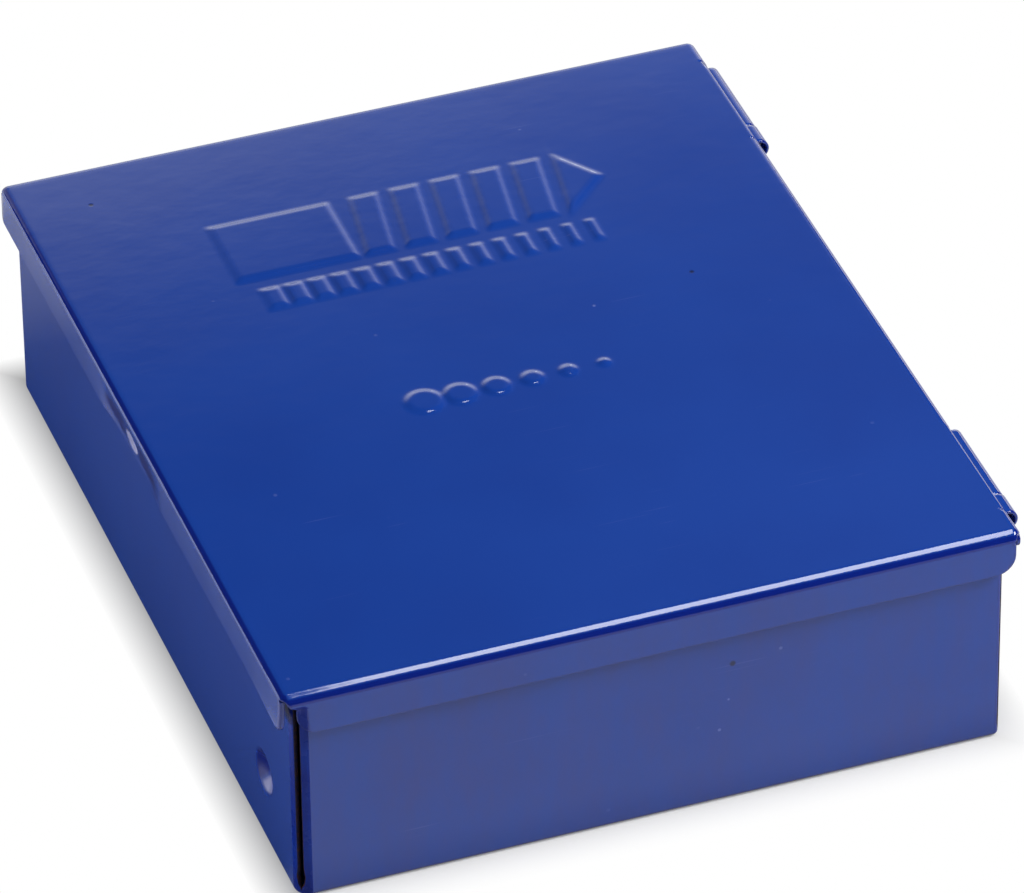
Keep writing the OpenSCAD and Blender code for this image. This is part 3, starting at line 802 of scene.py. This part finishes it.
# Beyond these half sizes, in metres, lie the folds of the lid and the base
FOLDS_X, FOLDS_Y = 0.0675, 0.0558

# The two pressed places lie in front of these Y, in metres
BASE_FRONT = (-0.0540, -0.0538)
LID_FRONT = (-0.0568, -0.0566)


def scratches(n, turn, seed_shift):
    """Thin broken lines in one direction."""
    fine = n.noise(1.0, 1.0, 0.5, n.stretched(2600, 24 + seed_shift, 2600, turn))
    lines = n.spread(fine, 0.735, 0.76)
    where = n.spread(n.noise(70 + seed_shift, 1.0), 0.56, 0.66)
    return n.math("MULTIPLY", lines, where)


def enamel(name, wear, edge=None, bends=False):
    """Gloss enamel with orange peel, hazy handling marks, specks, pits and faint scratches; the hazy
    marks are laid heavier on the end faces as painted shade. wear is how far these show and edge a
    radius that softens sharp edges. With bends, it has painted shade over the folds, and painted
    shade and painted highlights in the pressed places."""
    n = Nodes(name)
    tone = n.mix(n.spread(n.noise(28, 3), 0.35, 0.65), ENAMEL, ENAMEL_DEEP)

    # Hazy handling marks, mostly on the upright faces, and painted shade: the same greyer tone laid
    # heavier on the end faces to darken them
    facing = n.tree.nodes.new("ShaderNodeTexCoord").outputs["Normal"]
    tilt = {axis: n.absolute(part) for axis, part in n.split(facing).items()}
    upright = n.spread(tilt["Z"], 0.1, 0.8, 1.0, 0.12)
    cloud = n.noise(150, 6, 0.66, n.stretched(1.0, 1.0, 0.3))
    where = n.spread(n.noise(15, 3), 0.3, 0.65, 0.35, 1.0)
    haze_and_shade = n.math("MULTIPLY", n.spread(cloud, 0.36, 0.7), where)
    end_face_shade = n.spread(tilt["X"], 0.2, 0.8, 0.35, 1.0)
    haze_and_shade = n.math("MULTIPLY", n.math("MULTIPLY", haze_and_shade, upright), end_face_shade)
    tone = n.mix(n.math("MULTIPLY", haze_and_shade, 0.6), tone, ENAMEL_HAZE_AND_SHADE)

    # Painted shade over the folds, and painted shade and painted highlights in the pressed places
    if bends:
        tone = pressed_painted_light(n, painted_fold_shade(n, tilt, tone))

    marks = n.math("ADD", scratches(n, 24, 0), scratches(n, -61, 7))
    specks = n.spread(n.cells(210), 0.05, 0.08, 1.0, 0.0)
    specks = n.math("MULTIPLY", specks, n.spread(n.noise(52, 2), 0.58, 0.64))
    marks = n.math("MINIMUM", n.math("ADD", n.math("MULTIPLY", marks, 0.5), specks), 1.0)
    colour = n.mix(n.math("MULTIPLY", marks, wear), tone, ENAMEL_WORN)
    pits = n.spread(n.cells(88, n.stretched(1.0, 1.0, 1.0, 31)), 0.035, 0.055, 1.0, 0.0)
    pits = n.math("MULTIPLY", pits, n.spread(n.noise(37, 2), 0.52, 0.56))
    colour = n.mix(n.math("MULTIPLY", pits, 0.85), colour, ENAMEL_PIT)
    n.link(colour, n.shader.inputs["Base Color"])
    smudge = n.spread(n.noise(60, 4, 0.6), 0.45, 0.75, 0.05, 0.12)
    smudge = n.math("ADD", smudge, n.math("MULTIPLY", haze_and_shade, 0.12))
    n.link(n.math("ADD", smudge, n.math("MULTIPLY", marks, 0.2)), n.shader.inputs["Roughness"])

    wave = n.noise(75, 2, 0.5)
    ripple = n.noise(420, 2, 0.5, n.stretched(0.8, 0.45, 0.8, 12))
    under = n.rounded(edge) if edge else None
    normal = n.bump(wave, 0.00012, 0.5, under)
    normal = n.bump(ripple, 0.00004, 0.6, normal)
    normal = n.bump(n.math("SUBTRACT", specks, pits), 0.00003, 0.6, normal)
    n.link(normal, n.shader.inputs["Normal"])
    n.shader.inputs["IOR"].default_value = 1.5
    return n.material


def painted_fold_shade(n, tilt, tone):
    """Painted shade: darker enamel over the folds at the sides of the box, by the tilt of the sheet
    there.
    """
    place = n.split()
    beside = n.math("SUBTRACT", n.absolute(place["X"]), FOLDS_X)
    before = n.math("SUBTRACT", n.absolute(place["Y"]), FOLDS_Y)
    outer = n.spread(n.math("MAXIMUM", beside, before), 0.0, 0.0006)
    fold = n.math("MULTIPLY", n.spread(tilt["Z"], 0.96, 0.90), n.spread(tilt["Z"], 0.58, 0.68))
    fold = n.math("MULTIPLY", fold, n.spread(tilt["Y"], 0.1, 0.3))
    under = n.math("MULTIPLY", n.spread(tilt["Z"], 0.78, 0.68), n.spread(tilt["Z"], 0.08, 0.2))
    under = n.math("MULTIPLY", under, n.spread(tilt["X"], 0.3, 0.5))
    fold = n.math("MAXIMUM", fold, under)
    corner = n.spread(n.math("MULTIPLY", tilt["X"], tilt["Y"]), 0.04, 0.14)
    fold = n.math("MAXIMUM", fold, n.math("MULTIPLY", corner, 0.7))
    return n.mix(n.math("MULTIPLY", n.math("MULTIPLY", fold, outer), 0.85), tone, ENAMEL_PAINTED_SHADE)


def pressed_painted_light(n, tone):
    """Painted shade and painted highlights in the two pressed places on the latch side: each is
    painted dark where it falls away from the top left, and painted light where it faces the light."""
    x, y, z = n.split().values()

    def oval(mid_x, mid_z, half_x, half_z):
        across = n.math("DIVIDE", n.math("SUBTRACT", x, mid_x * MM), half_x * MM)
        up = n.math("DIVIDE", n.math("SUBTRACT", z, mid_z * MM), half_z * MM)
        total = n.math("ADD", n.math("MULTIPLY", across, across), n.math("MULTIPLY", up, up))
        return n.math("SQRT", total, 0.0)

    def applied(tone, mask, where, amount, colour):
        return n.mix(n.math("MULTIPLY", n.math("MULTIPLY", mask, where), amount), tone, colour)

    # The round dimple, with painted shade in its upper left and a painted highlight in its lower
    # right; slant runs in millimetres from its upper left to its lower right
    dish = oval(DIMPLE["x"], DIMPLE["z"], DIMPLE["r"], DIMPLE["r"])
    on_base = n.spread(y, *BASE_FRONT, 1.0, 0.0)
    slant = n.math("SUBTRACT", n.math("MULTIPLY", x, 800.0), n.math("MULTIPLY", z, 600.0))
    slant = n.math("SUBTRACT", slant, 0.8 * DIMPLE["x"] - 0.6 * DIMPLE["z"])
    dish_highlight = n.spread(dish, 0.84, 0.94, 1.0, 0.0)
    dish_highlight = n.math("MULTIPLY", dish_highlight, n.spread(slant, 0.1, 0.8))
    dish_shade = n.spread(dish, 0.94, 1.04, 1.0, 0.0)
    dish_shade = n.math("MULTIPLY", dish_shade, n.spread(slant, -0.6, 0.1, 1.0, 0.0))
    tone = applied(tone, dish_shade, on_base, 0.85, ENAMEL_PAINTED_SHADE)
    tone = applied(tone, dish_highlight, on_base, 0.85, ENAMEL_PAINTED_HIGHLIGHT)

    # The latch: painted shade in a dark spindle on both sides of a painted highlight ring
    on_lid = n.spread(y, *LID_FRONT, 1.0, 0.0)
    mid_z = TOP - LATCH["down"]
    aside = n.absolute(n.math("SUBTRACT", x, LATCH["x"] * MM))
    spindle_shade = oval(LATCH["x"], mid_z + SPINDLE["up"], SPINDLE["half_l"], SPINDLE["half_h"])
    spindle_shade = n.spread(spindle_shade, 0.82, 0.95, 1.0, 0.0)
    spindle_shade = n.math("MULTIPLY", spindle_shade, n.spread(aside, 0.0031, 0.0045))
    ring_highlight = oval(LATCH["x"], mid_z, LATCH["half_l"], LATCH["half_h"])
    inner, outer = n.spread(ring_highlight, 0.55, 0.7, 0.4, 1.0), n.spread(ring_highlight, 0.95, 1.1, 1.0, 0.0)
    tone = applied(tone, spindle_shade, on_lid, 0.9, ENAMEL_SPINDLE_SHADE)
    return applied(tone, n.math("MULTIPLY", inner, outer), on_lid, 0.85, ENAMEL_PAINTED_HIGHLIGHT)


def metal(name, colour, dull, rough, grain):
    """Plated or drawn metal, brushed along X, with faint dull patches."""
    n = Nodes(name)
    patches = n.spread(n.noise(120, 4, 0.6), 0.3, 0.75)
    n.link(n.mix(patches, colour, dull), n.shader.inputs["Base Color"])
    n.link(n.spread(n.noise(300, 3), 0.3, 0.7, rough, rough + 0.1), n.shader.inputs["Roughness"])
    brushed = n.noise(1.0, 2, 0.6, n.stretched(grain / 12, grain, grain))
    n.link(n.bump(brushed, 0.00001, 0.3, n.rounded(0.00012)), n.shader.inputs["Normal"])
    n.shader.inputs["Metallic"].default_value = 0.85
    return n.material


def bare_edge():
    """Cut steel in the seams, where the enamel runs thin over rusty brown."""
    n = Nodes("bare_edge")
    rust = n.spread(n.noise(900, 4, 0.7), 0.42, 0.62)
    n.link(n.mix(rust, *SEAM_TONES), n.shader.inputs["Base Color"])
    n.link(n.spread(n.noise(1500, 3), 0.3, 0.7, 0.55, 0.85), n.shader.inputs["Roughness"])
    n.link(n.bump(n.noise(2200, 3), 0.00005, 0.5), n.shader.inputs["Normal"])
    n.shader.inputs["Specular IOR Level"].default_value = 0.15
    return n.material


def corner_shade_enamel():
    """Darker enamel with little gloss on the folds at the front corners: painted shade that keeps
    them deep navy.
    """
    n = Nodes("corner_shade_enamel")
    tone = n.mix(n.spread(n.noise(170, 4), 0.35, 0.7), *CORNER_SHADE_TONES)
    n.link(tone, n.shader.inputs["Base Color"])
    n.link(n.spread(n.noise(260, 3), 0.3, 0.7, 0.2, 0.34), n.shader.inputs["Roughness"])
    n.link(n.bump(n.noise(420, 2, 0.5), 0.00004, 0.6), n.shader.inputs["Normal"])
    n.shader.inputs["Specular IOR Level"].default_value = 0.12
    return n.material


# ---- Studio ----

# The photo's view: angles in degrees, distance and offsets in millimetres
PHOTO_WIDTH = 1024
FOCAL_PX = 9000
CAMERA_AZ = 70.77
CAMERA_EL = 36.60
CAMERA_ROLL = -0.749
CAMERA_DISTANCE = 1383.67
CAMERA_RIGHT = 2.064
CAMERA_UP = 1.213
SENSOR = 36.0

# In metres: half sizes of the floor's zone that keeps a shadow for the camera, and of the one that
# is painted darker, a painted shadow that the gloss shows, which lies further to the left
SHADOW_X, SHADOW_Y = 0.072, 0.058
GLOSS_X, GLOSS_LEFT = 0.075, 0.025
FLOOR_PAINTED_SHADOW = (0.30, 0.30, 0.30)
FLOOR_PALE = ((0.95, 0.95, 0.95), (0.97, 0.97, 0.97))

CARD_X, CARD_Y, CARD_Z = -0.21, (-0.16, 0.2), (0.055, 0.33)
CARD_BRIGHT = 0.149
LAMP_AIM = Vector((0, 0, 0.02))


def make_camera():
    az, el, roll = (math.radians(v) for v in (CAMERA_AZ, CAMERA_EL, CAMERA_ROLL))
    back = Vector((math.sin(az) * math.cos(el), -math.cos(az) * math.cos(el), math.sin(el)))
    level = (-back).cross(Vector((0, 0, 1))).normalized()
    above = level.cross(-back)
    right = level * math.cos(roll) + above * math.sin(roll)
    up = above * math.cos(roll) - level * math.sin(roll)
    target = Vector((0, 0, TOP / 2))
    data = bpy.data.cameras.new("camera")
    data.sensor_width = SENSOR
    data.lens = FOCAL_PX * SENSOR / PHOTO_WIDTH
    data.clip_start = 0.1
    data.clip_end = 20
    camera = bpy.data.objects.new("camera", data)
    turn = Matrix((right, up, back)).transposed().to_4x4()
    place = (target + back * CAMERA_DISTANCE + right * CAMERA_RIGHT + up * CAMERA_UP) * MM
    camera.matrix_world = Matrix.Translation(place) @ turn
    bpy.context.scene.collection.objects.link(camera)
    bpy.context.scene.camera = camera


def make_floor():
    """A pale floor that keeps the shadow close to the box, painted darker there as a painted shadow,
    and runs out into white.
    """
    mesh = bmesh.new()
    bmesh.ops.create_grid(mesh, x_segments=8, y_segments=8, size=3.0)
    n = Nodes("floor_paper")
    n.shader.inputs["Roughness"].default_value = 0.9
    n.shader.inputs["Specular IOR Level"].default_value = 0.1
    place = n.split()
    before = n.math("SUBTRACT", n.absolute(place["Y"]), SHADOW_Y)
    around = n.math("MAXIMUM", n.math("SUBTRACT", n.absolute(place["X"]), SHADOW_X), before)
    shifted = n.absolute(n.math("ADD", place["X"], GLOSS_LEFT))
    away = n.math("MAXIMUM", n.math("SUBTRACT", shifted, GLOSS_X), before)
    pale = n.mix(n.noise(3, 2), *FLOOR_PALE)
    # Painted shadow: the floor's colour goes darker close to the box
    tone = n.mix(n.spread(away, 0.010, 0.032), FLOOR_PAINTED_SHADOW, pale)
    n.link(tone, n.shader.inputs["Base Color"])
    ray = n.tree.nodes.new("ShaderNodeLightPath")
    mirrored = n.math("MAXIMUM", ray.outputs["Is Glossy Ray"], ray.outputs["Is Transmission Ray"])
    mirrored = n.math("MULTIPLY", mirrored, n.math("POWER", n.spread(away, 0.009, 0.031), 2))
    seen = n.math("MULTIPLY", ray.outputs["Is Camera Ray"], n.spread(around, -0.006, 0.004))
    seen = n.math("MAXIMUM", seen, mirrored)
    white = n.tree.nodes.new("ShaderNodeEmission")
    white.inputs["Strength"].default_value = 1.0
    blend = n.tree.nodes.new("ShaderNodeMixShader")
    n.link(seen, blend.inputs[0])
    n.link(n.shader.outputs[0], blend.inputs[1])
    n.link(white.outputs[0], blend.inputs[2])
    n.link(blend.outputs[0], n.tree.nodes["Material Output"].inputs["Surface"])
    floor = new_piece("floor", mesh, n.material)


def softbox(name, place, size_x, size_y, radiance, shines=True, lights=True):
    """A soft lamp at place, in metres, that faces the object. One that doesn't shine gives light
    without showing in the gloss, and one that doesn't light shows in the gloss alone."""
    data = bpy.data.lights.new(name, "AREA")
    data.shape = "RECTANGLE"
    data.size = size_x
    data.size_y = size_y
    data.energy = radiance * math.pi * size_x * size_y
    lamp = bpy.data.objects.new(name, data)
    lamp.location = place
    lamp.visible_camera = False
    lamp.visible_glossy = shines
    lamp.visible_diffuse = lights
    toward = LAMP_AIM - Vector(place)
    level = Vector((1, 0, 0))
    level = (level - toward * (level.dot(toward) / toward.length_squared)).normalized()
    back = -toward.normalized()
    lamp.rotation_mode = "QUATERNION"
    lamp.rotation_quaternion = Matrix((level, back.cross(level), back)).transposed().to_quaternion()
    bpy.context.scene.collection.objects.link(lamp)


def make_card():
    """A white card behind the box, bright below and dim above, that the lid's gloss shows."""
    n = Nodes("card_glow")
    n.tree.nodes.remove(n.shader)
    place = n.split()
    height = n.spread(place["Z"], CARD_BRIGHT, CARD_Z[1])
    fall = n.math("POWER", n.math("SUBTRACT", 1.0, height), 7.5)
    near = n.math("MULTIPLY", fall, n.spread(place["Y"], 0.0, 0.11, 0.78, 0.34))
    near = n.math("MULTIPLY", near, n.spread(place["Y"], -0.14, -0.03))
    side = n.spread(place["Y"], 0.0, 0.15, 0.06, 0.18)
    glow = n.tree.nodes.new("ShaderNodeEmission")
    foot = n.spread(place["Z"], 0.10, CARD_BRIGHT, 1.0, 0.0)
    n.link(n.math("ADD", n.math("ADD", near, side), foot), glow.inputs["Strength"])
    n.link(glow.outputs[0], n.tree.nodes["Material Output"].inputs["Surface"])
    mesh = bmesh.new()
    (near_y, far_y), (low, high) = CARD_Y, CARD_Z
    corners = ((near_y, low), (far_y, low), (far_y, high), (near_y, high))
    mesh.faces.new([mesh.verts.new((CARD_X, y, z)) for y, z in corners])
    card = new_piece("card", mesh, n.material)
    card.visible_camera = False
    card.visible_diffuse = False
    card.visible_shadow = False


def make_world():
    """Dim surroundings, pale near the horizon on the far side from the camera."""
    world = bpy.data.worlds.new("studio")
    world.use_nodes = True
    tree = world.node_tree
    background = tree.nodes["Background"]
    coordinates = tree.nodes.new("ShaderNodeTexCoord")
    split = tree.nodes.new("ShaderNodeSeparateXYZ")
    tree.links.new(coordinates.outputs["Generated"], split.inputs[0])

    def soft(source, *ends):
        node = map_range(tree, source, *ends)
        node.interpolation_type = "SMOOTHSTEP"
        return node.outputs["Result"]

    both = tree.nodes.new("ShaderNodeMath")
    both.operation = "MULTIPLY"
    tree.links.new(soft(split.outputs["Z"], 0.03, 0.16, 1.0, 0.0), both.inputs[0])
    tree.links.new(soft(split.outputs["X"], 0.0, 0.4, 1.0, 0.0), both.inputs[1])
    tree.links.new(soft(both.outputs[0], 0.0, 1.0, 0.06, 1.1), background.inputs["Strength"])
    background.inputs["Color"].default_value = (1, 1, 1, 1)
    bpy.context.scene.world = world


# ---- Assembly ----


def dress_nodes():
    """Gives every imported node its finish."""
    finishes = {
        "case_enamel": enamel("case_enamel_leaves", 0.5, 0.00015),
        "rack_enamel": enamel("rack_enamel", 0.35, 0.00015),
        "zinc_plate": metal("zinc_plate", (0.72, 0.74, 0.76), (0.60, 0.61, 0.62), 0.42, 4000),
        "pin_steel": metal("pin_steel", (0.62, 0.63, 0.65), (0.50, 0.50, 0.51), 0.38, 5000),
    }
    slots = {part["node"]: part["material_slot"] for part in frame["record"]["subparts"]}
    for name, node in frame["nodes"].items():
        node.data.materials.clear()
        node.data.materials.append(finishes[slots[name]])


def main():
    dress_nodes()
    paint = enamel("case_enamel", 0.6, bends=True)
    # Darker enamel for the front corners: painted shade
    dull = corner_shade_enamel()
    lid = lid_sheet(paint, dull)
    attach(lid, "lid")
    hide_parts("lid")
    tray = tray_sheet(paint, bare_edge(), dull)
    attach(tray, "base")
    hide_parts("base_tray")
    for side in HINGES:
        for leaf, body in ((base_leaf(side, paint), "base"), (lid_leaf(side, paint), "lid")):
            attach(leaf, body)
            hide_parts(f"{side}_hinge_{body}_leaf")

    make_camera()
    make_floor()
    make_world()
    make_card()
    softbox("overhead", (0.06, 0.155, 0.53), 0.42, 0.16, 12, lights=False)
    softbox("side_strip", (-0.70, -0.68, 0.085), 0.7, 0.11, 1.8, lights=False)
    softbox("back_strip", (-0.70, 0.60, 0.10), 0.6, 0.10, 2.5, lights=False)
    softbox("key", (0.33, 0.72, 0.77), 0.49, 0.33, 29)
    softbox("low_fill", (-0.50, -1.15, 0.055), 1.1, 0.09, 40, shines=False)
    softbox("above", (0.15, 0.0, 0.80), 0.5, 0.5, 2.4, shines=False)
    bpy.context.scene.view_settings.view_transform = "Standard"


main()
